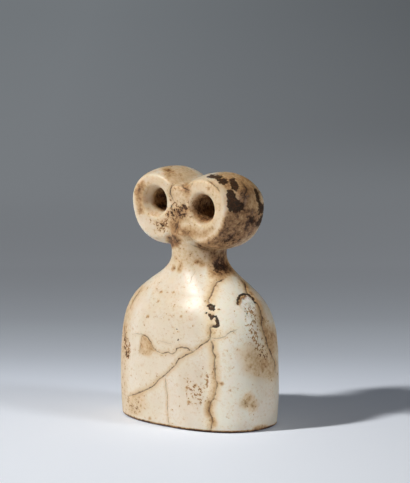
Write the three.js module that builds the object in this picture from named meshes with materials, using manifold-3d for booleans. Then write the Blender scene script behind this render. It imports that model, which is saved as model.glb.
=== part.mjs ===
// Eye idol: a small standing figure carved from one block of pale stone. A bell-shaped body on a flat foot
// narrows to a short neck, which carries a head of two fat ring eyes, each bored through from front to back.
// Millimetres, +Z up. The eyes look along -Y, and the origin is the centre of the foot's underside.

import * as THREE from "three";
import { mergeVertices } from "three/addons/utils/BufferGeometryUtils.js";
import Module from "manifold-3d";

const wasm = await Module();
wasm.setup();

// Body, given by its half width in X at the foot, the wall, the shoulder's end and the neck's narrowest ring.
const FOOT_HALF_WIDTH = 32.4;
const FOOT_EDGE_RADIUS = 1.0;
const WALL_HALF_WIDTH = 33.1;
const WALL_HEIGHT = 16;
const SHOULDER_END = new THREE.Vector2(17.6, 54.1);
const SHOULDER_SLOPE_DEG = 32;
const SHOULDER_PULL_LOW = 23.5;
const SHOULDER_PULL_HIGH = 15.4;
const NECK_HALF_WIDTH = 10.35;
const NECK_HEIGHT = 62.8;
const NECK_PULL_LOW = 4.4;
const NECK_PULL_HIGH = 3.4;
const THROAT_HALF_WIDTH = 13;
const THROAT_HEIGHT = 72;
const THROAT_PULL = 4.5;
const THROAT_TOP_HALF_WIDTH = 10;
const THROAT_TOP = 82;

// Cross-section: the body is shallow, with a flattened front and back, and turns nearly round at the neck.
// The power is 2 for an ellipse and more for a squarer section.
const BODY_DEPTH_SHARE = 0.64;
const NECK_DEPTH_SHARE = 0.98;
const BODY_SECTION_POWER = 2.35;
const NECK_SECTION_POWER = 2;
const ROUNDING_FROM_HEIGHT = 50;

// Head: two barrels along Y, deeper below their axis than above it. The front face is ground flat and meets
// the bowed flanks at an edge, the crown runs nearly level to the face, and the back rounds off.
const EYE_AXIS_HEIGHT = 82.8;
const EYE_SPACING = 23.4;
const EYE_HALF_WIDTH = 14.9;
const LEFT_EYE_CROWN = 12.2;
const LEFT_EYE_CHIN = 17.1;
const RIGHT_EYE_CROWN = 12.0;
const RIGHT_EYE_CHIN = 16.8;
const CROWN_FALL = 0.55;
const CROWN_FALL_BEHIND = 1.4;
const EYE_CHIN_FALL = 0.75;
const EYE_HALF_LENGTH = 13.4;
const BACK_ROUNDNESS = 2.9;
const FACE_FROM_MIDDLE = 11.2;
const FACE_SHARE = 0.73;
const HEAD_FORWARD = 0.9;

// Bridge of stone that fills the groove between the eyes, flush with their front faces.
const BRIDGE_HALF_WIDTH = 9.8;
const BRIDGE_CROWN = 8.3;
const BRIDGE_CHIN = 14;
const BRIDGE_CHIN_FALL = 0.6;
const BRIDGE_HALF_LENGTH = 12.4;

// Bores, drilled from both faces: a wide mouth, a short cone and a narrower waist. The left one sits higher.
const BORE_MOUTH_RADIUS = 6.25;
const BORE_CONE_RADIUS = 4.5;
const BORE_CONE_DEPTH = 3.2;
const BORE_WAIST_RADIUS = 4.2;
const BORE_MOUTH_AT_BACK = 12.0;
const BORE_OVERRUN = 4;
const BORE_OFF_LEVEL = 0.4;

const BODY_SIDES = 72;
const FOOT_EDGE_STEPS = 3;
const WALL_STEPS = 3;
const SHOULDER_STEPS = 14;
const NECK_STEPS = 8;
const THROAT_STEPS = 5;
const EYE_SIDES = 48;
const FLANK_STEPS = 5;
const BACK_STEPS = 7;
const BORE_SIDES = 32;

const STONE = new THREE.MeshStandardMaterial({ color: 0xe2d6bf, roughness: 0.35, metalness: 0 });

// A closed geometry as a solid that can be joined and cut.
function solidOf(geometry) {
  geometry.deleteAttribute("normal");
  geometry.deleteAttribute("uv");
  const merged = mergeVertices(geometry, 1e-4);
  return new wasm.Manifold(
    new wasm.Mesh({
      numProp: 3,
      vertProperties: merged.attributes.position.array,
      triVerts: new Uint32Array(merged.index.array),
    }),
  );
}

function geometryOf(solid) {
  const mesh = solid.getMesh();
  const geometry = new THREE.BufferGeometry();
  geometry.setAttribute("position", new THREE.BufferAttribute(mesh.vertProperties, 3));
  geometry.setIndex(new THREE.BufferAttribute(mesh.triVerts, 1));
  geometry.computeVertexNormals();
  return geometry;
}

// Moves every vertex of a geometry by a function of its position.
function reshape(geometry, change) {
  const positions = geometry.attributes.position;
  const point = new THREE.Vector3();
  for (let i = 0; i < positions.count; i++) {
    point.fromBufferAttribute(positions, i);
    change(point);
    positions.setXYZ(i, point.x, point.y, point.z);
  }
  return geometry;
}

// The bell's half outline: from the foot's middle, up the wall, over shoulder and neck, to inside the head.
function bellProfile() {
  const at = (halfWidth, height) => new THREE.Vector2(halfWidth, height);
  const slope = THREE.MathUtils.degToRad(SHOULDER_SLOPE_DEG);
  const upSlope = at(-Math.cos(slope), Math.sin(slope));
  const footStart = at(FOOT_HALF_WIDTH - FOOT_EDGE_RADIUS, 0);
  const footEnd = at(FOOT_HALF_WIDTH, FOOT_EDGE_RADIUS);
  const wallEnd = at(WALL_HALF_WIDTH, WALL_HEIGHT);
  const neckRing = at(NECK_HALF_WIDTH, NECK_HEIGHT);
  const throatEnd = at(THROAT_HALF_WIDTH, THROAT_HEIGHT);

  const footEdge = new THREE.QuadraticBezierCurve(footStart, at(FOOT_HALF_WIDTH, 0), footEnd);
  const wall = new THREE.QuadraticBezierCurve(footEnd, at(WALL_HALF_WIDTH, WALL_HEIGHT / 2), wallEnd);
  const shoulder = new THREE.CubicBezierCurve(
    wallEnd,
    at(WALL_HALF_WIDTH, WALL_HEIGHT + SHOULDER_PULL_LOW),
    SHOULDER_END.clone().addScaledVector(upSlope, -SHOULDER_PULL_HIGH),
    SHOULDER_END,
  );
  const neck = new THREE.CubicBezierCurve(
    SHOULDER_END,
    SHOULDER_END.clone().addScaledVector(upSlope, NECK_PULL_LOW),
    at(NECK_HALF_WIDTH, NECK_HEIGHT - NECK_PULL_HIGH),
    neckRing,
  );
  const throat = new THREE.QuadraticBezierCurve(
    neckRing,
    at(NECK_HALF_WIDTH, NECK_HEIGHT + THROAT_PULL),
    throatEnd,
  );
  const stretches = [
    [footEdge, FOOT_EDGE_STEPS],
    [wall, WALL_STEPS],
    [shoulder, SHOULDER_STEPS],
    [neck, NECK_STEPS],
    [throat, THROAT_STEPS],
  ];
  const curved = stretches.flatMap(([curve, steps]) => curve.getPoints(steps).slice(1));
  return [at(0, 0), footStart, ...curved, at(THROAT_TOP_HALF_WIDTH, THROAT_TOP), at(0, THROAT_TOP)];
}

// How far a circle's point moves out to reach a squarer section of that power.
function squareness(x, y, power) {
  const radius = Math.hypot(x, y);
  if (radius === 0) return 1;
  return (Math.abs(x / radius) ** power + Math.abs(y / radius) ** power) ** (-1 / power);
}

// Body and neck: the bell turned about Z, with its front and back flattened.
function body() {
  const turned = new THREE.LatheGeometry(bellProfile(), BODY_SIDES).rotateX(Math.PI / 2);
  const shaped = reshape(turned, (p) => {
    const rise = THREE.MathUtils.smoothstep(p.z, ROUNDING_FROM_HEIGHT, NECK_HEIGHT);
    const power = THREE.MathUtils.lerp(BODY_SECTION_POWER, NECK_SECTION_POWER, rise);
    const spread = squareness(p.x, p.y, power);
    p.x *= spread;
    p.y *= spread * THREE.MathUtils.lerp(BODY_DEPTH_SHARE, NECK_DEPTH_SHARE, rise);
  });
  return solidOf(shaped);
}

// Half outline of a barrel along Y: a flat face, an arc from its edge to the widest ring, and a rounded back.
function barrelProfile(radius, halfLength) {
  const bulge = radius * (1 - FACE_SHARE);
  const arcRadius = (bulge ** 2 + FACE_FROM_MIDDLE ** 2) / (2 * bulge);
  const edgeAngle = Math.asin(FACE_FROM_MIDDLE / arcRadius);
  const points = [new THREE.Vector2(0, -FACE_FROM_MIDDLE)];
  for (let i = 0; i <= FLANK_STEPS; i++) {
    const angle = edgeAngle * (1 - i / FLANK_STEPS);
    const inward = arcRadius * (1 - Math.cos(angle));
    points.push(new THREE.Vector2(radius - inward, -arcRadius * Math.sin(angle)));
  }
  const power = 2 / BACK_ROUNDNESS;
  for (let i = 1; i < BACK_STEPS; i++) {
    const angle = (Math.PI / 2) * (i / BACK_STEPS);
    points.push(new THREE.Vector2(radius * Math.cos(angle) ** power, halfLength * Math.sin(angle) ** power));
  }
  points.push(new THREE.Vector2(0, halfLength));
  return points;
}

// A barrel turned about Y, with its level crown and its deeper chin.
function barrel(halfWidth, halfLength, crown, chin, chinFall) {
  const turned = new THREE.LatheGeometry(barrelProfile(halfWidth, halfLength), EYE_SIDES);
  return reshape(turned, (p) => {
    const share = Math.hypot(p.x, p.z) / halfWidth;
    const crownFall = p.y < 0 ? CROWN_FALL : CROWN_FALL_BEHIND;
    const fall = p.z > 0 ? crownFall : chinFall;
    const height = p.z > 0 ? crown : chin;
    if (share > 0) p.z *= (share ** (fall - 1) * height) / halfWidth;
  });
}

// One eye's barrel. side is -1 or 1.
function eye(side) {
  const crown = side < 0 ? LEFT_EYE_CROWN : RIGHT_EYE_CROWN;
  const chin = side < 0 ? LEFT_EYE_CHIN : RIGHT_EYE_CHIN;
  const ring = barrel(EYE_HALF_WIDTH, EYE_HALF_LENGTH, crown, chin, EYE_CHIN_FALL);
  return solidOf(ring.translate((side * EYE_SPACING) / 2, -HEAD_FORWARD, EYE_AXIS_HEIGHT));
}

function bridge() {
  const filling = barrel(
    BRIDGE_HALF_WIDTH,
    BRIDGE_HALF_LENGTH,
    BRIDGE_CROWN,
    BRIDGE_CHIN,
    BRIDGE_CHIN_FALL,
  );
  return solidOf(filling.translate(0, -HEAD_FORWARD, EYE_AXIS_HEIGHT));
}

// The drill's path through one eye, running out past both faces with the slope of its mouth cone.
function bore(side) {
  const flare = (BORE_MOUTH_RADIUS - BORE_CONE_RADIUS) / BORE_CONE_DEPTH;
  const outRadius = BORE_MOUTH_RADIUS + flare * BORE_OVERRUN;
  const front = -FACE_FROM_MIDDLE;
  const back = BORE_MOUTH_AT_BACK;
  const profile = [
    [0, front - BORE_OVERRUN],
    [outRadius, front - BORE_OVERRUN],
    [BORE_CONE_RADIUS, front + BORE_CONE_DEPTH],
    [BORE_WAIST_RADIUS, 0],
    [BORE_CONE_RADIUS, back - BORE_CONE_DEPTH],
    [outRadius, back + BORE_OVERRUN],
    [0, back + BORE_OVERRUN],
  ].map(([radius, along]) => new THREE.Vector2(radius, along));
  const drill = new THREE.LatheGeometry(profile, BORE_SIDES);
  const height = EYE_AXIS_HEIGHT - side * BORE_OFF_LEVEL;
  return solidOf(drill.translate((side * EYE_SPACING) / 2, -HEAD_FORWARD, height));
}

function idolSolid() {
  const uncut = body().add(eye(-1)).add(eye(1)).add(bridge());
  return uncut.subtract(bore(-1)).subtract(bore(1));
}

const idol = new THREE.Mesh(geometryOf(idolSolid()), STONE);
idol.name = "eye_idol";

const part = new THREE.Group();
part.add(idol);

export default part;
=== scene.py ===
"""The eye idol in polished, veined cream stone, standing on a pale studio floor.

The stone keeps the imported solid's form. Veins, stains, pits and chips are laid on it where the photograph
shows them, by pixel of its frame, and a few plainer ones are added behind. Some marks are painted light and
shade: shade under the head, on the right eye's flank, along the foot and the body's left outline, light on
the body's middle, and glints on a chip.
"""

import math
from collections import namedtuple

import bmesh
import bpy
import numpy as np
from mathutils import Matrix, Vector, noise
from mathutils.bvhtree import BVHTree
from mathutils.kdtree import KDTree


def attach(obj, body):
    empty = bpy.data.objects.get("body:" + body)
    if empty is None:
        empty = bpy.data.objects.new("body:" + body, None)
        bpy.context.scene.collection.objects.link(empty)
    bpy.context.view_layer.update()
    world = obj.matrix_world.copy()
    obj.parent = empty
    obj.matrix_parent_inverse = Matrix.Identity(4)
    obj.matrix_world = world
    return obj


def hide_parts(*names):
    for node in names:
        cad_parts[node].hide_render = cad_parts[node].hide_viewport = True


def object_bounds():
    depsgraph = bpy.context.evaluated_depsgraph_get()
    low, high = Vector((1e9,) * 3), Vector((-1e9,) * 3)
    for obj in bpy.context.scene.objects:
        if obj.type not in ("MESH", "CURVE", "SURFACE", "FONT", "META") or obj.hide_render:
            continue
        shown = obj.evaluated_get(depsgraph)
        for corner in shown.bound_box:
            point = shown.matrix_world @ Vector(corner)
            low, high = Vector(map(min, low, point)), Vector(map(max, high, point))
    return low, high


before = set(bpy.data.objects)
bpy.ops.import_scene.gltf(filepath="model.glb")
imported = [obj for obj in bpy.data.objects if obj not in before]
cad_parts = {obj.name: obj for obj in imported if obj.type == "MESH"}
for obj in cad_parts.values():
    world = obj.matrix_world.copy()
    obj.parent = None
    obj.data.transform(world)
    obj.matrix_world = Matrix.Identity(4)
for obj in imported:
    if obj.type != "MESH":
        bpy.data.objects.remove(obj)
cad_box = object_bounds()

MM = 0.001
NODE = "eye_idol"

# The photograph's frame and the camera's place, from the idol's foot, bores and outline.
PHOTO_WIDTH = 410
PHOTO_HEIGHT = 483
VIEW_AZIMUTH = math.radians(40.6)
VIEW_ELEVATION = math.radians(9.43)
VIEW_DISTANCE = 1200 * MM
AIM_HEIGHT = 67.47 * MM
AIM_ASIDE = 2.17 * MM
PIXEL_AT_IDOL = 0.375 * MM
FOCAL_PIXELS = VIEW_DISTANCE / PIXEL_AT_IDOL
SENSOR_WIDTH = 36

TOWARD_CAMERA = Vector((
    math.sin(VIEW_AZIMUTH) * math.cos(VIEW_ELEVATION),
    -math.cos(VIEW_AZIMUTH) * math.cos(VIEW_ELEVATION),
    math.sin(VIEW_ELEVATION),
))
VIEW_RIGHT = Vector((math.cos(VIEW_AZIMUTH), math.sin(VIEW_AZIMUTH), 0))
VIEW_UP = TOWARD_CAMERA.cross(VIEW_RIGHT)
CAMERA_PLACE = VIEW_RIGHT * AIM_ASIDE + Vector((0, 0, AIM_HEIGHT)) + TOWARD_CAMERA * VIEW_DISTANCE

# Stone mesh: an even skin over the solid, smoothed until the solid's flats are gone.
SKIN_GRAIN = 0.505 * MM
SMOOTH_ROUNDS = 60
SMOOTH_PULL = 0.6
SMOOTH_PUSH = -0.61
CRISP_ANGLE = math.radians(18)
CRISP_REACH = 1.6 * MM
CRISP_SMOOTHING = 0.10
WAVER_SIZE = 17 * MM
WAVER_HEIGHT = 0.16 * MM

# The bores, as the solid has them, the brown that darkens deep in them, and the painted contact shadow along
# the foot.
EYE_SPACING = 23.4 * MM
EYE_AXIS_HEIGHT = 82.8 * MM
BORE_OFF_LEVEL = 0.4 * MM
BORE_MOUTH_RADIUS = 6.2 * MM
HEAD_HALF_DEPTH = 12.2 * MM
LEFT_BORE_PLAIN_DEPTH = 3.4 * MM
RIGHT_BORE_PLAIN_DEPTH = 0.3 * MM
BORE_DARKENING_RUN = 2.5 * MM
BORE_DARKNESS = 0.74
# Height and strength of the painted contact shadow along the foot
FOOT_LINE = 0.6 * MM
FOOT_SHADOW_STRENGTH = 1.1

# Marks on the stone. Widths, reaches and depths are in mm, softness in pixels of the photograph.
Vein = namedtuple("Vein", "half_width depth darkness path")
Stain = namedtuple("Stain", "finish reach strength depth path")
Patch = namedtuple("Patch", "finish strength softness depth outline")

MARKS = ("crust", "wash", "painted_light", "chalk_and_glint", "pitted")
PATH_STEP = 0.3 * MM
PATH_WANDER = 0.5
WANDER_SEED = 7
VEIN_FAR = 12.0
CARRY_REACH = 9 * MM

# Veins and cracks seen in the photograph, by pixel.
VEINS_IN_PHOTO = [
    # The long diagonal across the body
    Vein(0.26, 0.22, 0.85, [(129, 396), (135, 394), (143, 391), (148, 389), (154, 385), (159, 379),
                            (165, 375), (171, 369), (175, 365), (179, 359), (186, 355), (192, 352),
                            (197, 349), (203, 344), (208, 341), (210, 338)]),
    # The middle vein, above and below the diagonal
    Vein(0.30, 0.25, 0.75, [(224, 279), (217, 282), (214, 287), (212, 294), (209, 299), (209, 304)]),
    Vein(0.28, 0.25, 0.80, [(213, 326), (210.6, 328), (211, 332), (210, 338)]),
    Vein(0.32, 0.20, 0.60, [(210, 338), (213, 344), (213, 352), (215.5, 358), (214.4, 366), (215, 375),
                            (216.7, 383), (216, 390.6), (214, 398), (210, 403), (209, 411), (211.7, 418),
                            (212.8, 422), (210.6, 428), (210.6, 431)]),
    Vein(0.24, 0.10, 0.45, [(210, 338), (215, 338.3), (221.7, 337.8), (225, 336.7), (229.4, 332.8),
                            (236, 330)]),
    # The thin upright at the lower left
    Vein(0.18, 0.15, 0.65, [(165, 376), (166, 386), (167.2, 396), (167, 408), (168, 419), (169, 426)]),
    # The wavy vein and the edges of the salmon patch
    Vein(0.24, 0.15, 0.65, [(141.7, 334), (147.2, 337), (151, 342.8), (153.3, 348.3), (157.2, 351.7),
                            (162.8, 353.3), (168.3, 352.2), (172.2, 353.9), (175, 351.7), (177.2, 348.3),
                            (181.7, 347.2), (186, 347.8), (190.6, 350.6), (195, 350)]),
    Vein(0.16, 0.05, 0.35, [(134, 334), (141.7, 334)]),
    Vein(0.18, 0.08, 0.45, [(142, 335), (140.5, 344), (139.5, 352)]),
    Vein(0.18, 0.05, 0.35, [(158.9, 341), (166, 342.2), (171.7, 344)]),
    # The crack over the right shoulder
    Vein(0.34, 0.30, 0.85, [(239.4, 276), (245, 284), (247.2, 292.8), (252.8, 299.4), (258.3, 304),
                            (260.6, 309.4), (262.2, 317), (261.7, 324), (264.4, 332.8), (266.7, 340.6),
                            (269.4, 348.3), (271.7, 354), (275, 360.6), (275.6, 370.6)]),
    # The left shoulder's edge
    Vein(0.30, 0.25, 0.60, [(141.7, 288.3), (136, 296), (130.6, 306)]),
    Vein(0.40, 0.25, 0.60, [(124.6, 324), (124, 332), (125, 338)]),
    Vein(0.14, 0.05, 0.35, [(190, 284), (192, 277), (195.5, 271)]),
    # The bridge between the eyes
    Vein(0.26, 0.30, 0.80, [(172.4, 184.4), (170.5, 189), (170, 194.4), (173.3, 200)]),
    Vein(0.30, 0.30, 0.80, [(181.5, 185.3), (184.2, 188.5), (189.6, 190.7)]),
    Vein(0.24, 0.25, 0.70, [(192.8, 181.6), (191, 186.2)]),
    Vein(0.28, 0.30, 0.65, [(184.2, 204.4), (180.5, 211.6), (178.7, 219), (177, 225.3), (174.2, 233.5)]),
    # The right eye's rim and flank
    Vein(0.24, 0.20, 0.75, [(207.8, 179.8), (213.3, 184), (217.8, 188), (219.2, 190.7)]),
    Vein(0.36, 0.15, 1.00, [(243.3, 182.5), (247, 189), (245, 194.4), (244.6, 201.6), (241.5, 207)]),
    Vein(0.26, 0.15, 0.75, [(244.2, 176.2), (249, 179), (253.3, 182.5)]),
    Vein(0.36, 0.45, 0.90, [(222.4, 240.7), (226, 242), (230, 239), (233, 236), (235, 234)]),
    Vein(0.26, 0.20, 0.60, [(192, 245), (200, 248), (206, 250.5), (211, 251)]),
]

# Areas of colour or wear seen in the photograph, by pixel; some are painted shade and one is painted light.
PATCHES_IN_PHOTO = [
    # Left eye: warm rim, tan inner side, pitted patch under the bore
    Patch("wash", 0.16, 8, 0, [(134, 186), (150, 172), (168, 176), (172, 196), (168, 222), (158, 238),
                               (138, 218)]),
    Patch("wash", 0.72, 3, 0, [(137, 185), (143, 181), (145, 186), (142, 195), (143, 205), (144, 213),
                               (139, 213), (136, 202), (135.5, 192)]),
    Patch("wash", 0.30, 2.5, 0, [(160, 167), (168, 165), (184, 166), (198, 174), (190, 179), (182, 184),
                                 (171, 184), (166, 177)]),
    Patch("wash", 0.55, 3, 0, [(162, 167), (172, 166), (172, 171), (169, 181), (165, 175)]),
    Patch("pitted", 0.75, 3, 0.35, [(147, 218), (153, 221), (160, 219), (168, 217), (168, 231),
                                    (161, 234), (155, 233), (151, 226)]),
    Patch("wash", 0.30, 4, 0, [(150, 219), (166, 219), (165, 231), (156, 232)]),
    # Bridge
    Patch("wash", 0.24, 5, 0, [(170, 184), (190, 179), (190, 206), (186, 236), (174, 238), (166, 224),
                               (168, 205)]),
    Patch("wash", 0.50, 4, 0, [(165, 213), (171, 207), (184, 203), (191, 208), (190, 222), (180, 224),
                               (167, 224)]),
    Patch("pitted", 0.65, 4, 0.40, [(163, 214), (170, 205), (180, 202), (188, 200), (191, 210),
                                    (190, 223), (178, 222), (165, 225)]),
    Patch("pitted", 0.70, 3, 0.25, [(169, 184), (174, 184), (173, 200), (178, 205), (172, 208),
                                    (168, 198)]),
    Patch("wash", 0.50, 4, 0, [(176, 226), (190, 225), (200, 231), (212, 226), (214, 229), (206, 237),
                               (192, 240), (178, 237)]),
    Patch("wash", 0.75, 3, 0.15, [(167, 239), (171, 234), (176, 234), (182, 240), (178, 247),
                                  (172, 248)]),
    Patch("wash", 0.55, 3, 0, [(168, 214), (178, 216), (182, 226), (180, 236), (172, 236), (167, 226)]),
    Patch("wash", 0.45, 3, 0, [(184, 182), (190, 180), (192, 196), (187, 203), (182, 196)]),
    # Right eye: warm rim, brown flank that is partly painted shade, crusted top
    Patch("wash", 0.17, 5, 0, [(190, 181), (204, 176), (218, 184), (226, 196), (224, 214), (216, 232),
                               (196, 240), (186, 230), (186, 200)]),
    # Brown stain and painted shade on the flank turned from the key
    Patch("wash", 0.64, 3, 0, [(228, 209), (225, 216), (221, 228), (214, 236), (204, 241), (206, 250),
                               (226, 252), (240, 245), (252, 236), (262, 222), (265, 208), (250, 206)]),
    Patch("wash", 0.50, 3, 0, [(213, 177), (221, 184), (227, 193), (227, 210), (264, 210), (263, 194),
                               (254, 179), (240, 172), (222, 171)]),
    # Painted shade on the flank's far side, with brown stain
    Patch("wash", 0.84, 7, 0, [(242, 214), (264, 206), (262, 222), (250, 237), (238, 246), (238, 230)]),
    # Painted shade in the recess under the right eye, with brown stain
    Patch("wash", 0.62, 3, 0, [(196, 243), (212, 240), (222, 249), (228, 253), (212, 253), (199, 249)]),
    Patch("crust", 1.00, 2.2, 0.10, [(207, 176.6), (212, 174.6), (222.5, 175.8), (221.5, 178.6),
                                     (215, 178.8)]),
    Patch("crust", 1.00, 2.2, 0.10, [(216.5, 179.5), (224, 178.2), (228.5, 181.5), (224.6, 185),
                                     (220, 183)]),
    Patch("crust", 1.00, 2.2, 0.10, [(229.3, 179), (234, 178), (239, 186), (236.5, 193), (231.3, 188)]),
    Patch("crust", 1.00, 2.2, 0.10, [(226.4, 190), (231, 189), (235, 193), (237, 198), (240, 202),
                                     (244, 204), (243, 210), (236, 212), (228.5, 211), (227, 205),
                                     (227.6, 198)]),
    Patch("crust", 0.90, 2.4, 0.10, [(254, 187), (258, 191), (260, 200), (264, 206), (263, 213),
                                     (257.5, 215), (258.5, 205), (256, 197)]),
    Patch("crust", 0.80, 2.4, 0, [(249, 217), (254, 215.5), (255.5, 221), (252, 226), (248.5, 222)]),
    Patch("crust", 0.90, 2.4, 0, [(258, 219), (263, 214), (261.5, 222), (258, 228), (256, 225)]),
    Patch("pitted", 0.90, 3, 0.40, [(221, 240), (226, 236), (236, 233), (237, 238), (228, 245),
                                    (222, 244)]),
    # Neck; the dark stain on its right is brown stain and painted shade under the head
    Patch("wash", 0.18, 6, 0, [(170, 240), (212, 248), (210, 266), (196, 270), (168, 266)]),
    # Painted shade under the head on the neck's right, with brown stain
    Patch("wash", 0.98, 6, 0, [(211, 249), (231, 249), (228, 259), (234, 272), (222, 277), (212, 275),
                               (210, 262)]),
    # Darkest part of that painted shade, laid as dark crust
    Patch("crust", 0.85, 4, 0, [(213, 270), (215, 264), (222, 262), (227, 266), (225, 271.5),
                                (218, 272.5)]),
    Patch("wash", 0.32, 4, 0, [(216, 272), (226, 273), (232, 279), (222, 281)]),
    # Body
    # Painted shade along the body's left outline
    Patch("wash", 0.26, 5, 0, [(119, 330), (124, 310), (134, 294), (142, 284), (147, 288), (136, 303),
                               (129, 320), (126, 340), (125, 380), (125, 412), (118, 412)]),
    Patch("wash", 0.06, 12, 0, [(150, 284), (182, 282), (186, 312), (170, 322), (150, 312)]),
    # Painted light: the body's middle and right turned to a whiter cream
    Patch("painted_light", 1.00, 9, 0, [(204, 268), (230, 274), (250, 298), (255, 330), (253, 420), (228, 430),
                               (206, 426), (206, 340), (201, 318)]),
    Patch("wash", 0.34, 8, 0, [(241, 352), (252, 345), (265, 350), (276, 362), (275, 377), (258, 376),
                               (245, 370)]),
    Patch("wash", 0.38, 5, 0, [(262, 326), (277, 328), (279, 352), (270, 354)]),
    Patch("wash", 0.30, 3, 0, [(256, 366), (264, 365), (270, 371), (262, 376)]),
    Patch("pitted", 0.85, 4, 0.10, [(244, 298), (255, 304), (260, 330), (268, 354), (262, 362),
                                    (250, 346), (247, 322)]),
    # Chalky chip on the right shoulder; its white is partly painted highlight for the glints on its pits
    Patch("chalk_and_glint", 1.00, 3, 0.30, [(241, 305), (243, 300), (248, 297), (253, 301), (255, 309),
                                    (251, 312), (246, 309)]),
    Patch("wash", 0.26, 5, 0, [(125, 397), (143, 394), (145, 407), (138, 415), (128, 415)]),
    Patch("pitted", 0.45, 5, 0, [(125, 397), (143, 394), (145, 407), (138, 415), (128, 415)]),
    Patch("wash", 0.30, 2, 0, [(142, 335), (150, 341), (154, 350), (149, 357), (139, 353)]),
    Patch("pitted", 1.00, 2, 0.30, [(123, 334), (127, 333), (130, 346), (129, 359), (124, 359)]),
    Patch("wash", 0.38, 3, 0, [(122, 320), (126, 320), (128, 357), (123, 358)]),
    Patch("pitted", 0.55, 6, 0.05, [(186, 382), (199, 371), (211, 369), (214, 384), (206, 402),
                                    (188, 406)]),
    Patch("wash", 0.05, 8, 0, [(184, 380), (199, 368), (213, 367), (216, 400), (206, 406), (186, 408)]),
    Patch("pitted", 0.14, 10, 0.05, [(150, 284), (180, 284), (188, 320), (184, 344), (158, 344)]),
]

# Lines of stain and single spots seen in the photograph, by pixel; the foot's line is painted shadow.
STAINS_IN_PHOTO = [
    # Crusted hollows along the middle vein
    Stain("crust", 1.0, 1.0, 0.45, [(208.2, 305.5), (210.6, 304.6), (213.6, 306.5), (213.9, 309.4),
                                    (210, 308.4)]),
    Stain("crust", 1.0, 1.0, 0.45, [(209.4, 315), (211, 318.6), (213, 316.2), (215.6, 316),
                                    (217.4, 320.5), (218.3, 325.4), (215.6, 326.6), (212.8, 326.4)]),
    Stain("wash", 4.0, 0.22, 0, [(213, 284), (210, 300), (211, 320), (212, 336)]),
    Stain("wash", 3.0, 0.20, 0, [(212, 340), (214, 360), (215, 384), (211, 404), (211, 424)]),
    Stain("wash", 2.6, 0.47, 0, [(209, 404), (209, 414)]),
    Stain("wash", 1.8, 0.52, 0, [(212, 420), (214, 424)]),
    # Chipped patch on the right shoulder
    Stain("crust", 0.9, 1.0, 0.40, [(238, 304), (237.4, 300), (239.5, 296), (243, 294), (248, 293.6),
                                    (253, 297.5), (255, 302)]),
    Stain("wash", 1.6, 0.70, 0.20, [(239.5, 303), (241, 299), (245, 297)]),
    Stain("wash", 4.0, 0.28, 0, [(244, 282), (258, 304), (263, 324)]),
    # Painted contact shadow along the foot's right edge
    Stain("wash", 2.2, 0.76, 0, [(256, 430), (266, 429), (273, 427)]),
]


def spots(finish, reach, strength, depth, places):
    """Single round spots, one stain each."""
    return [Stain(finish, reach, strength, depth, [place]) for place in places]


SPOTS_IN_PHOTO = [
    *spots("crust", 0.75, 0.85, 0.35, [(176.7, 329), (177.8, 340), (206.5, 312.8)]),
    *spots("crust", 0.6, 0.80, 0.30, [(250.6, 304), (253.3, 309), (247.2, 313.3), (252.2, 315.2)]),
    *spots("wash", 0.9, 0.57, 0.10, [(148.3, 316.4), (158.3, 301), (160.6, 291.7), (173.3, 292.2),
                                     (181, 316.7)]),
    *spots("wash", 1.0, 0.66, 0.10, [(195, 385.5), (187, 388), (188.5, 402), (141, 405.6), (150, 418.3)]),
    *spots("wash", 1.0, 0.71, 0.10, [(245.5, 403), (252.5, 406), (222, 384)]),
    *spots("wash", 3.2, 0.42, 0, [(246, 403), (253, 405), (249, 399)]),
    *spots("wash", 2.0, 0.62, 0, [(173.3, 268), (179.4, 269.4), (180.6, 265.6), (197.2, 261.7),
                                  (202, 264)]),
    *spots("wash", 1.0, 0.66, 0, [(197.2, 261.7), (173.8, 267.5), (179, 269)]),
    *spots("crust", 0.9, 0.80, 0.25, [(171, 215.6), (182.5, 217), (171.5, 206.5)]),
    *spots("wash", 1.3, 0.71, 0, [(208.3, 189), (263, 371)]),
]

# Plainer veins and stains behind, by millimetres across and up as seen along the Y axis.
VEINS_BEHIND = [
    Vein(0.26, 0.20, 0.70, [(30, 17), (22, 21), (12, 30), (4, 34), (-6, 45), (-12, 50)]),
    Vein(0.30, 0.20, 0.60, [(4, 34), (6, 24), (3, 14), (5, 2)]),
    Vein(0.22, 0.15, 0.55, [(-33, 20), (-24, 23), (-14, 20), (-8, 12), (-9, 2)]),
    Vein(0.26, 0.25, 0.70, [(-2, 90), (-3, 84), (1, 78), (0, 72)]),
]
STAINS_BEHIND = [
    Stain("wash", 9.0, 0.24, 0, [(-20, 12), (-10, 16)]),
    Stain("wash", 6.0, 0.28, 0, [(6, 62), (12, 56)]),
    Stain("wash", 7.0, 0.52, 0, [(18, 40), (24, 34)]),
    Stain("pitted", 6.0, 0.60, 0.10, [(-14, 38), (-4, 26)]),
    Stain("pitted", 5.0, 0.80, 0.25, [(2, 76), (-2, 84)]),
    Stain("wash", 6.0, 0.28, 0, [(14, 92), (20, 84), (18, 74)]),
    Stain("crust", 1.4, 0.90, 0, [(21, 88), (23, 82)]),
    Stain("wash", 4.0, 0.66, 0, [(-2, 70), (4, 70)]),
]


def srgb(red, green, blue):
    """A screen colour, 0 to 255, as the linear colour that a shader takes."""
    shares = [value / 255 for value in (red, green, blue)]
    return (*[s / 12.92 if s < 0.04045 else ((s + 0.055) / 1.055) ** 2.4 for s in shares], 1)


WARM_CREAM = srgb(223, 210, 189)
PALE_CREAM = srgb(228, 217, 200)
# The whiter cream of the painted light on the body's middle
PAINTED_LIGHT_CREAM = srgb(245, 237, 220)
CHALK_AND_GLINT_WHITE = srgb(242, 236, 222)
VEIN_BROWN = srgb(74, 50, 33)
UMBER = srgb(78, 48, 26)
# Dark crust colour, also used for the painted shade on the neck
CRUST_AND_SHADE_BROWN = srgb(24, 15, 9)
FLOOR_NEAR = srgb(240, 245, 253)

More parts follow.
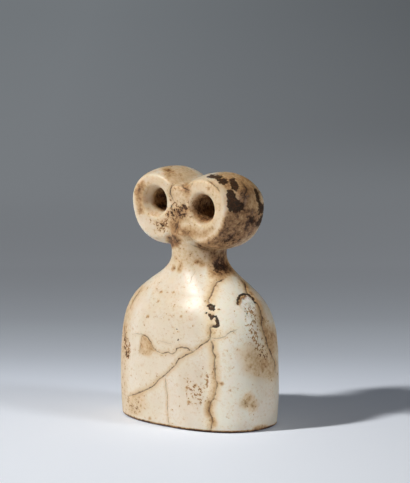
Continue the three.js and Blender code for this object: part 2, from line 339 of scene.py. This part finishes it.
# What a brown stain wash, also used for painted shade, leaves of the stone's own colour, by its strength.
STAIN_AND_SHADE_TONES = [
    (0.00, (1, 1, 1, 1)),
    (0.20, (0.90, 0.78, 0.62, 1)),
    (0.45, (0.66, 0.46, 0.27, 1)),
    (0.70, (0.38, 0.22, 0.11, 1)),
    (1.00, (0.08, 0.035, 0.016, 1)),
]


class Wire:
    """A socket of a finish's node tree. Arithmetic on it adds Math nodes."""

    def __init__(self, finish, socket):
        self.finish = finish
        self.socket = socket

    def math(self, operation, *values):
        return self.finish.node("ShaderNodeMath", {"operation": operation}, dict(enumerate(values)))

    def __add__(self, other):
        return self.math("ADD", self, other)

    def __sub__(self, other):
        return self.math("SUBTRACT", self, other)

    def __rsub__(self, other):
        return self.math("SUBTRACT", other, self)

    def __mul__(self, other):
        return self.math("MULTIPLY", self, other)

    __radd__ = __add__
    __rmul__ = __mul__

    def __abs__(self):
        return self.math("ABSOLUTE", self)

    def most(self, other):
        return self.math("MAXIMUM", self, other)

    def ramp(self, low, high):
        """A soft step from 0 at low to 1 at high."""
        settings = {"interpolation_type": "SMOOTHSTEP"}
        return self.finish.node("ShaderNodeMapRange", settings, {0: self, 1: low, 2: high})


class Finish:
    """A material and the nodes that make it."""

    def __init__(self, name):
        self.material = bpy.data.materials.new(name)
        self.material.use_nodes = True
        self.tree = self.material.node_tree
        self.tree.nodes.clear()
        self.place = self.node("ShaderNodeTexCoord", output="Object")

    def node(self, kind, settings=None, inputs=None, output=0):
        """Adds a node: its type, its settings, the values or wires of its sockets, and the output wanted."""
        made = self.tree.nodes.new(kind)
        for name, value in (settings or {}).items():
            if name == "stops":
                self.set_stops(made.color_ramp, *value)
            else:
                setattr(made, name, value)
        for name, value in (inputs or {}).items():
            if isinstance(value, Wire):
                self.tree.links.new(value.socket, made.inputs[name])
            else:
                made.inputs[name].default_value = value
        return Wire(self, made.outputs[output]) if made.outputs else None

    def set_stops(self, band, interpolation, stops):
        band.interpolation = interpolation
        for number, (position, colour) in enumerate(stops):
            stop = band.elements[number] if number < 2 else band.elements.new(position)
            stop.position = position
            stop.color = colour

    def grain(self, size_mm, detail=3, roughness=0.6):
        """Cloudy noise about zero, with features of about that size."""
        sockets = {"Vector": self.place, "Scale": 1000 / size_mm, "Detail": detail, "Roughness": roughness}
        return self.node("ShaderNodeTexNoise", None, sockets) - 0.5

    def mark(self, name):
        return self.node("ShaderNodeAttribute", {"attribute_name": name}, output="Fac")

    def tint(self, share, below, above, blend="MIX"):
        """Lays one colour on another: below where share is 0, above where it is 1."""
        settings = {"data_type": "RGBA", "blend_type": blend}
        return self.node("ShaderNodeMix", settings, {0: share, 6: below, 7: above}, output=2)

    def surface(self, shader):
        self.node("ShaderNodeOutputMaterial", None, {"Surface": shader})
        return self.material


def stone_finish():
    """Polished cream stone: cloudy body colour, brown washes, veins, dark crusts and fine pits."""
    stone = Finish("veined_cream_stone")
    broad = stone.grain(24)
    cloud = stone.grain(7, 4)
    blotch = stone.grain(2.6, 4, 0.65)
    speck = stone.grain(1.1, 3)
    dust = stone.grain(0.5, 3)

    cream = stone.tint((broad + cloud * 0.7).ramp(-0.12, 0.14), WARM_CREAM, PALE_CREAM)
    # Painted light: whiter cream on the body's middle and right
    cream = stone.tint((stone.mark("painted_light") + cloud * 0.6).ramp(0.05, 0.95), cream, PAINTED_LIGHT_CREAM)

    vein_near = stone.mark("vein_near")
    vein_darkness = stone.mark("vein_darkness")
    halo = (1 - (vein_near + blotch * 7 + cloud * 5).ramp(0.0, 9.0)) * vein_darkness
    pits = (speck + blotch * 0.5 + dust * 0.4 + stone.mark("pitted") * 0.26).ramp(0.17, 0.30)
    mottling = 1 + cloud * 1.1 + blotch * 1.5 + speck * 1.1
    grime = (cloud * 0.5 + blotch * 0.6 + speck * 0.9 + dust * 0.5).ramp(-0.05, 0.45) * 0.26
    # Brown stains and painted shade from the marks, with grime, vein halos and pits
    wash = stone.mark("wash") * mottling + grime + halo * 0.24 + pits * (0.34 + stone.mark("pitted") * 0.22)
    stained_and_shaded = stone.node("ShaderNodeValToRGB", {"stops": ("LINEAR", STAIN_AND_SHADE_TONES)}, {0: wash})
    colour = stone.tint(1.0, cream, stained_and_shaded, "MULTIPLY")

    # Chalk white, partly painted highlight where the chip's pits glint
    chalk_and_glint = (stone.mark("chalk_and_glint") + blotch * 0.9 + speck * 0.9 - pits).ramp(0.15, 0.55)
    colour = stone.tint(chalk_and_glint, colour, CHALK_AND_GLINT_WHITE)

    offset = abs(stone.mark("vein_offset") + cloud * 2.0 + blotch * 3.0 + speck * 2.6)
    line = 1 - (offset.most(vein_near - 2.2) + cloud * 2.0 + dust).ramp(0.1, 1.3)
    line = line * vein_darkness * (blotch * 2.8 + speck * 1.2 + 0.95)
    colour = stone.tint(line, colour, VEIN_BROWN)

    # Dark crusts, and painted shade at the neck's right under the head
    crust = (stone.mark("crust") + blotch * 1.1 + speck * 0.9 + dust * 0.4).ramp(0.30, 0.56)
    dark = stone.tint((speck + dust).ramp(-0.15, 0.25), CRUST_AND_SHADE_BROWN, UMBER)

    rough = 0.31 + cloud * 0.10 + blotch * 0.10 + pits * 0.2 + chalk_and_glint * 0.25 + wash * 0.25
    height = blotch * 0.25 + dust * 0.20 - pits * 0.7 - line * 1.2 - crust * 0.5
    skin = stone.node("ShaderNodeBump", None, {"Strength": 0.35, "Distance": 0.12 * MM, "Height": height})
    polished = stone.node("ShaderNodeBsdfPrincipled", None, {
        "Base Color": colour,
        "Roughness": rough,
        "Normal": skin,
        "Specular IOR Level": 0.32,
        "Subsurface Weight": 0.7,
        "Subsurface Radius": (1.0, 0.75, 0.55),
        "Subsurface Scale": 4.5 * MM,
    })
    crust_and_shade_finish = stone.node("ShaderNodeBsdfPrincipled", None, {
        "Base Color": dark,
        "Roughness": 0.75,
        "Normal": skin,
        "Specular IOR Level": 0.2,
    })
    return stone.surface(stone.node("ShaderNodeMixShader", None, {0: crust * 0.95, 1: polished, 2: crust_and_shade_finish}))


# The floor's tone by metres behind the idol along the line of sight, and how it darkens to the right:
# painted light falloff in its colour, and a painted glow as emission for the lit backdrop and the near
# shadows' fill.
FLOOR_TONES_FROM = -0.1
FLOOR_TONES_TO = 1.6
FLOOR_COLOUR_AND_PAINTED_FALLOFF = [
    (-0.10, FLOOR_NEAR),
    (0.00, srgb(236, 241, 250)),
    (0.06, srgb(218, 225, 237)),
    (0.12, srgb(176, 182, 191)),
    (0.20, srgb(140, 145, 152)),
    (0.32, srgb(70, 72, 76)),
    (0.50, srgb(20, 20, 21)),
    (1.60, srgb(20, 20, 21)),
]
PAINTED_GLOW_TONES = [
    (-0.10, srgb(18, 22, 30)),
    (0.10, srgb(18, 22, 30)),
    (0.22, srgb(60, 62, 65)),
    (0.34, srgb(105, 108, 112)),
    (0.60, srgb(118, 122, 126)),
    (1.60, srgb(110, 115, 119)),
]
NEAR_PAINTED_SHADE = 1.5
FAR_PAINTED_SHADE = 1.25
FAR_PAINTED_SHADE_FROM = -0.1


def floor_finish():
    """Matt pale paper with painted light falloff behind the idol, painted shade to the right, and a painted
    glow.
    """
    paper = Finish("pale_floor")
    away = Vector((-TOWARD_CAMERA.x, -TOWARD_CAMERA.y, 0)).normalized()

    def along(direction):
        settings = {"operation": "DOT_PRODUCT"}
        return paper.node("ShaderNodeVectorMath", settings, {0: paper.place, 1: direction}, "Value")

    behind = along(away)
    across = along(VIEW_RIGHT)
    share = (behind - FLOOR_TONES_FROM) * (1 / (FLOOR_TONES_TO - FLOOR_TONES_FROM))

    def tones(steps, light):
        length = FLOOR_TONES_TO - FLOOR_TONES_FROM
        stops = [((distance - FLOOR_TONES_FROM) / length, colour) for distance, colour in steps]
        tone = paper.node("ShaderNodeValToRGB", {"stops": ("B_SPLINE", stops)}, {0: share})
        return paper.tint(1.0, tone, light, "MULTIPLY")

    # Painted shade: the floor's colour and glow darkened to the right
    near_light = 1 - across.most(0) * (1 - behind.ramp(0.0, 0.2)) * NEAR_PAINTED_SHADE
    far_light = 1 - (across - FAR_PAINTED_SHADE_FROM).most(0) * behind.ramp(0.35, 0.9) * FAR_PAINTED_SHADE
    return paper.surface(paper.node("ShaderNodeBsdfPrincipled", None, {
        "Base Color": tones(FLOOR_COLOUR_AND_PAINTED_FALLOFF, near_light),
        "Roughness": 0.9,
        "Specular IOR Level": 0.1,
        # Painted glow, no lamp: emission for the lit backdrop and for fill in the near shadows
        "Emission Color": tones(PAINTED_GLOW_TONES, far_light),
        "Emission Strength": 1.0,
    }))


def photo_ray(pixel):
    """Where a pixel's line of sight starts and which way it runs."""
    across = (pixel[0] - PHOTO_WIDTH / 2) / FOCAL_PIXELS
    up = (PHOTO_HEIGHT / 2 - pixel[1]) / FOCAL_PIXELS
    return CAMERA_PLACE, (VIEW_RIGHT * across + VIEW_UP * up - TOWARD_CAMERA).normalized()


def back_ray(point):
    """A line along -Y from behind the idol, at millimetres across and up."""
    return Vector((point[0] * MM, 1, point[1] * MM)), Vector((0, -1, 0))


def even_skin(node):
    """A copy of the solid with an even mesh of small faces."""
    piece = bpy.data.objects.new("carved_idol", node.data.copy())
    bpy.context.scene.collection.objects.link(piece)
    remesh = piece.modifiers.new("even skin", "REMESH")
    remesh.mode = "VOXEL"
    remesh.voxel_size = SKIN_GRAIN
    evaluated = piece.evaluated_get(bpy.context.evaluated_depsgraph_get())
    mesh = bpy.data.meshes.new_from_object(evaluated)
    piece.modifiers.clear()
    piece.data = mesh
    return piece


def read(collection, name, width):
    values = np.zeros(len(collection) * width, np.int32 if name == "vertices" else np.float32)
    collection.foreach_get(name, values)
    return values.reshape(-1, width)


def smoothing_share(node, places):
    """How much each point is smoothed: fully on open faces, little along the solid's outer edges."""
    form = bmesh.new()
    form.from_mesh(node.data)
    bmesh.ops.remove_doubles(form, verts=form.verts, dist=0.001 * MM)
    edges = [edge for edge in form.edges if edge.is_manifold and edge.calc_face_angle_signed() > CRISP_ANGLE]
    crisp = KDTree(len(edges) * 4)
    for number, edge in enumerate(edges):
        start, end = (vertex.co for vertex in edge.verts)
        for quarter in range(4):
            crisp.insert(start.lerp(end, quarter / 4), number)
    crisp.balance()
    form.free()
    distance = np.array([crisp.find(place)[2] for place in places])
    return np.clip(distance / CRISP_REACH, CRISP_SMOOTHING, 1)[:, None]


def smoothed(places, edges, share):
    """Smooths without shrinking: each round pulls points to their neighbours, then pushes them back."""
    first, second = edges.T
    count = np.bincount(edges.ravel(), minlength=len(places))[:, None]
    for turn in range(2 * SMOOTH_ROUNDS):
        total = np.stack([
            np.bincount(first, places[second, axis], len(places))
            + np.bincount(second, places[first, axis], len(places))
            for axis in range(3)
        ], axis=1)
        places = places + (total / count - places) * share * (SMOOTH_PUSH if turn % 2 else SMOOTH_PULL)
    return places


def put_places(mesh, places):
    mesh.vertices.foreach_set("co", places.astype(np.float32).ravel())
    mesh.update()


def traced(path, ray, tree):
    """A path laid on the stone: close points that wander a little, where their rays meet the surface."""
    corners = [Vector((*point, 0)) for point in path]
    unit = PIXEL_AT_IDOL if ray is photo_ray else MM
    points = corners[:1]
    for start, end in zip(corners, corners[1:]):
        steps = max(1, math.ceil((end - start).length * unit / PATH_STEP))
        points += [start.lerp(end, (i + 1) / steps) for i in range(steps)]
    hits = []
    for point in points:
        wander = noise.noise_vector(point * 0.3) * PATH_WANDER if len(path) > 1 else Vector()
        hit = tree.ray_cast(*ray(point + wander))[0]
        if hit:
            hits.append(hit)
    return np.array(hits)


def depth_inside(outline, points):
    """How far points lie inside an outline, in its own units. Outside it, the value is negative."""
    corners = np.array(outline, float)
    inside = np.zeros(len(points), bool)
    gap = np.full(len(points), np.inf)
    for start, end in zip(corners, np.roll(corners, -1, axis=0)):
        run = end - start
        along = np.clip((points - start) @ run / (run @ run), 0, 1)
        gap = np.minimum(gap, np.linalg.norm(points - start - along[:, None] * run, axis=1))
        rise = (points[:, 1] - start[1]) / (run[1] or 1e-9)
        inside ^= (rise >= 0) & (rise < 1) & (points[:, 0] < start[0] + rise * run[0])
    return np.where(inside, gap, -gap)


class Surface:
    """The stone's points, normals and the marks laid on them."""

    def __init__(self, places, normals, tree):
        self.places = places
        self.normals = normals
        self.tree = tree
        self.seen, self.pixels = self.seen_in_photo()
        self.sink = np.zeros(len(places))
        self.marks = {finish: np.zeros(len(places)) for finish in MARKS}
        self.marks["vein_offset"] = np.full(len(places), VEIN_FAR)
        self.marks["vein_near"] = np.full(len(places), VEIN_FAR)
        self.marks["vein_darkness"] = np.zeros(len(places))

    def seen_in_photo(self):
        """The points that the photograph's camera sees, and their pixels."""
        sight = np.array(CAMERA_PLACE) - self.places
        facing = np.flatnonzero((sight * self.normals).sum(1) > 0)
        starts = self.places + self.normals * 0.1 * MM
        seen = np.array([i for i in facing if self.tree.ray_cast(starts[i], sight[i])[0] is None])
        depth = sight[seen] @ np.array(TOWARD_CAMERA)
        across = -(sight[seen] @ np.array(VIEW_RIGHT)) / depth * FOCAL_PIXELS + PHOTO_WIDTH / 2
        down = (sight[seen] @ np.array(VIEW_UP)) / depth * FOCAL_PIXELS + PHOTO_HEIGHT / 2
        return seen, np.stack([across, down], axis=1)

    def near(self, line, reach):
        """The points within reach of a line: their numbers, distances and the line's closest points."""
        low, high = line.min(0) - reach, line.max(0) + reach
        numbers = np.flatnonzero(((self.places > low) & (self.places < high)).all(1))
        gaps = np.linalg.norm(self.places[numbers, None] - line[None], axis=2)
        closest = gaps.argmin(1)
        distance = gaps[np.arange(len(numbers)), closest]
        kept = distance < reach
        return numbers[kept], distance[kept], closest[kept]

    def add_vein(self, vein, ray):
        line = traced(vein.path, ray, self.tree)
        if len(line) < 2:
            return
        half_width = vein.half_width * MM
        numbers, distance, closest = self.near(line, half_width * VEIN_FAR)
        along = np.gradient(line, axis=0)
        side = np.cross(along[closest], self.normals[numbers])
        side /= np.linalg.norm(side, axis=1)[:, None] + 1e-12
        offset = ((self.places[numbers] - line[closest]) * side).sum(1) / half_width
        ends = np.minimum(closest, len(line) - 1 - closest) / 8 + 0.35
        darkness = vein.darkness * np.minimum(1, ends)
        self.sink[numbers] += vein.depth * MM * np.exp(-((distance / half_width / 1.6) ** 2))
        near = distance / half_width
        nearer = near < self.marks["vein_near"][numbers]
        chosen = numbers[nearer]
        self.marks["vein_near"][chosen] = near[nearer]
        self.marks["vein_offset"][chosen] = offset[nearer]
        self.marks["vein_darkness"][chosen] = darkness[nearer]

    def add_stain(self, stain, ray):
        line = traced(stain.path, ray, self.tree)
        if not len(line):
            return
        numbers, distance, _ = self.near(line, stain.reach * MM)
        self.lay(stain, numbers, 1 - distance / (stain.reach * MM))

    def add_patch(self, patch):
        share = np.clip(0.5 + depth_inside(patch.outline, self.pixels) / (2 * patch.softness), 0, 1)
        touched = share > 0
        self.lay(patch, self.seen[touched], share[touched])

    def lay(self, mark, numbers, share):
        """Lays a stain or patch on points by its share there, and eats unevenly into the stone."""
        values = self.marks[mark.finish]
        values[numbers] = np.maximum(values[numbers], mark.strength * share)
        if mark.depth:
            roughness = [0.4 + noise.noise(Vector(place) / (0.9 * MM)) for place in self.places[numbers]]
            self.sink[numbers] += mark.depth * MM * np.minimum(1, 1.6 * share) * np.maximum(0, roughness)

    def carry_round(self):
        """Carries the marks on past the photograph's outline, fading, so that none ends in a line."""
        tree = KDTree(len(self.seen))
        for number in self.seen:
            tree.insert(self.places[number], number)
        tree.balance()
        hidden = np.setdiff1d(np.arange(len(self.places)), self.seen)
        found = [tree.find(place)[1:] for place in self.places[hidden]]
        nearest = np.array([number for number, _ in found])
        share = np.clip(1 - np.array([distance for _, distance in found]) / CARRY_REACH, 0, 1)
        for values in [self.sink, *(self.marks[finish] for finish in MARKS)]:
            values[hidden] = np.maximum(values[hidden], values[nearest] * share)

    def add_darkening(self, wash):
        self.marks["wash"] = np.maximum(self.marks["wash"], wash)

    def darken_bores(self):
        """Brown darkening in the bores, growing with depth, from near the mouth in the right one and deeper
        in the left one.
        """
        for side, plain_depth in ((-1, LEFT_BORE_PLAIN_DEPTH), (1, RIGHT_BORE_PLAIN_DEPTH)):
            axis = np.array([side * EYE_SPACING / 2, EYE_AXIS_HEIGHT - side * BORE_OFF_LEVEL])
            within = np.linalg.norm(self.places[:, (0, 2)] - axis, axis=1) < BORE_MOUTH_RADIUS
            deep = HEAD_HALF_DEPTH - np.abs(self.places[:, 1]) - plain_depth
            self.add_darkening(np.where(within, np.clip(deep / BORE_DARKENING_RUN, 0, 1) * BORE_DARKNESS, 0))

    def paint_foot_shadow(self):
        """Painted contact shadow: a dark line where the foot meets the ground."""
        self.add_darkening(FOOT_SHADOW_STRENGTH * np.clip(2 - self.places[:, 2] / FOOT_LINE, 0, 1))


def carved_stone():
    """The idol's visible stone, with its relief and its marks."""
    noise.seed_set(WANDER_SEED)
    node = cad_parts[NODE]
    piece = even_skin(node)
    mesh = piece.data
    places = read(mesh.vertices, "co", 3).astype(float)
    places = smoothed(places, read(mesh.edges, "vertices", 2), smoothing_share(node, places))
    put_places(mesh, places)
    normals = read(mesh.vertex_normals, "vector", 3).astype(float)
    faces = [face.vertices for face in mesh.polygons]
    surface = Surface(places, normals, BVHTree.FromPolygons(places.tolist(), faces))
    for ray, veins, stains in (
        (photo_ray, VEINS_IN_PHOTO, STAINS_IN_PHOTO + SPOTS_IN_PHOTO),
        (back_ray, VEINS_BEHIND, STAINS_BEHIND),
    ):
        for vein in veins:
            surface.add_vein(vein, ray)
        for stain in stains:
            surface.add_stain(stain, ray)
    for patch in PATCHES_IN_PHOTO:
        surface.add_patch(patch)
    surface.carry_round()
    surface.darken_bores()
    surface.paint_foot_shadow()

    waver = np.array([noise.noise(Vector(p) / WAVER_SIZE) for p in places]) * WAVER_HEIGHT
    free = np.clip(places[:, 2] / (2 * MM), 0, 1)
    places = places + normals * ((waver - surface.sink) * free)[:, None]
    low, high = (np.array(corner) for corner in cad_box)
    put_places(mesh, np.clip(places, low, high))
    for name, values in surface.marks.items():
        layer = mesh.attributes.new(name, "FLOAT", "POINT")
        layer.data.foreach_set("value", values.astype(np.float32))
    mesh.shade_smooth()
    mesh.materials.clear()
    mesh.materials.append(stone_finish())
    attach(piece, "root")
    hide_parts(NODE)
    return piece


FLOOR_HALF_SIZE = 6.0


def studio_floor():
    mesh = bpy.data.meshes.new("studio_floor")
    h = FLOOR_HALF_SIZE
    mesh.from_pydata([(-h, -h, 0), (h, -h, 0), (h, h, 0), (-h, h, 0)], [], [(0, 1, 2, 3)])
    mesh.materials.append(floor_finish())
    floor = bpy.data.objects.new("studio_floor", mesh)
    bpy.context.scene.collection.objects.link(floor)


# Studio lights: angles in degrees, places and sizes in metres.
Lamp = namedtuple("Lamp", "name azimuth elevation distance width height watts colour")
KEY = Lamp("key", -28.5, 42.5, 3.0, 0.20, 0.40, 88, (1.0, 0.985, 0.96))
KEY_PANE = Lamp("key_pane", -28.5, 42.5, 2.9, 0.09, 1.20, 84, (1.0, 0.985, 0.96))
RIGHT_FILL = Lamp("right_fill", 102, 30, 2.0, 0.40, 0.40, 11.0, (0.95, 0.975, 1.0))
LIT_HEIGHT = 45 * MM
AIR_COLOUR = (0.90, 0.95, 1.0, 1)
AIR_STRENGTH = 0.022


def soft_box(lamp):
    """A rectangular light that faces the idol's middle."""
    light = bpy.data.lights.new(lamp.name, "AREA")
    light.shape = "RECTANGLE"
    light.size = lamp.width
    light.size_y = lamp.height
    light.energy = lamp.watts
    light.color = lamp.colour
    box = bpy.data.objects.new(lamp.name, light)
    turn = math.radians(lamp.azimuth)
    rise = math.radians(lamp.elevation)
    outward = Vector((math.sin(turn) * math.cos(rise), -math.cos(turn) * math.cos(rise), math.sin(rise)))
    box.location = Vector((0, 0, LIT_HEIGHT)) + outward * lamp.distance
    box.rotation_euler = outward.to_track_quat("Z", "Y").to_euler()
    bpy.context.scene.collection.objects.link(box)
    return box


def studio_light():
    """A key from the left that casts the shadow, a tall pane before it that only the polish mirrors, and a
    weaker light from the right."""
    soft_box(KEY).visible_glossy = False
    soft_box(KEY_PANE).visible_diffuse = False
    soft_box(RIGHT_FILL)
    world = bpy.data.worlds.new("studio_air")
    world.use_nodes = True
    air = world.node_tree.nodes["Background"]
    air.inputs["Color"].default_value = AIR_COLOUR
    air.inputs["Strength"].default_value = AIR_STRENGTH
    bpy.context.scene.world = world
    bpy.context.scene.view_settings.view_transform = "Standard"


def photo_camera():
    lens = bpy.data.cameras.new("photo_camera")
    lens.sensor_width = SENSOR_WIDTH
    lens.lens = FOCAL_PIXELS / PHOTO_HEIGHT * SENSOR_WIDTH
    camera = bpy.data.objects.new("photo_camera", lens)
    turn = Matrix((VIEW_RIGHT, VIEW_UP, TOWARD_CAMERA)).transposed().to_4x4()
    camera.matrix_world = Matrix.Translation(CAMERA_PLACE) @ turn
    bpy.context.scene.collection.objects.link(camera)
    bpy.context.scene.camera = camera


photo_camera()
studio_floor()
studio_light()
carved_stone()
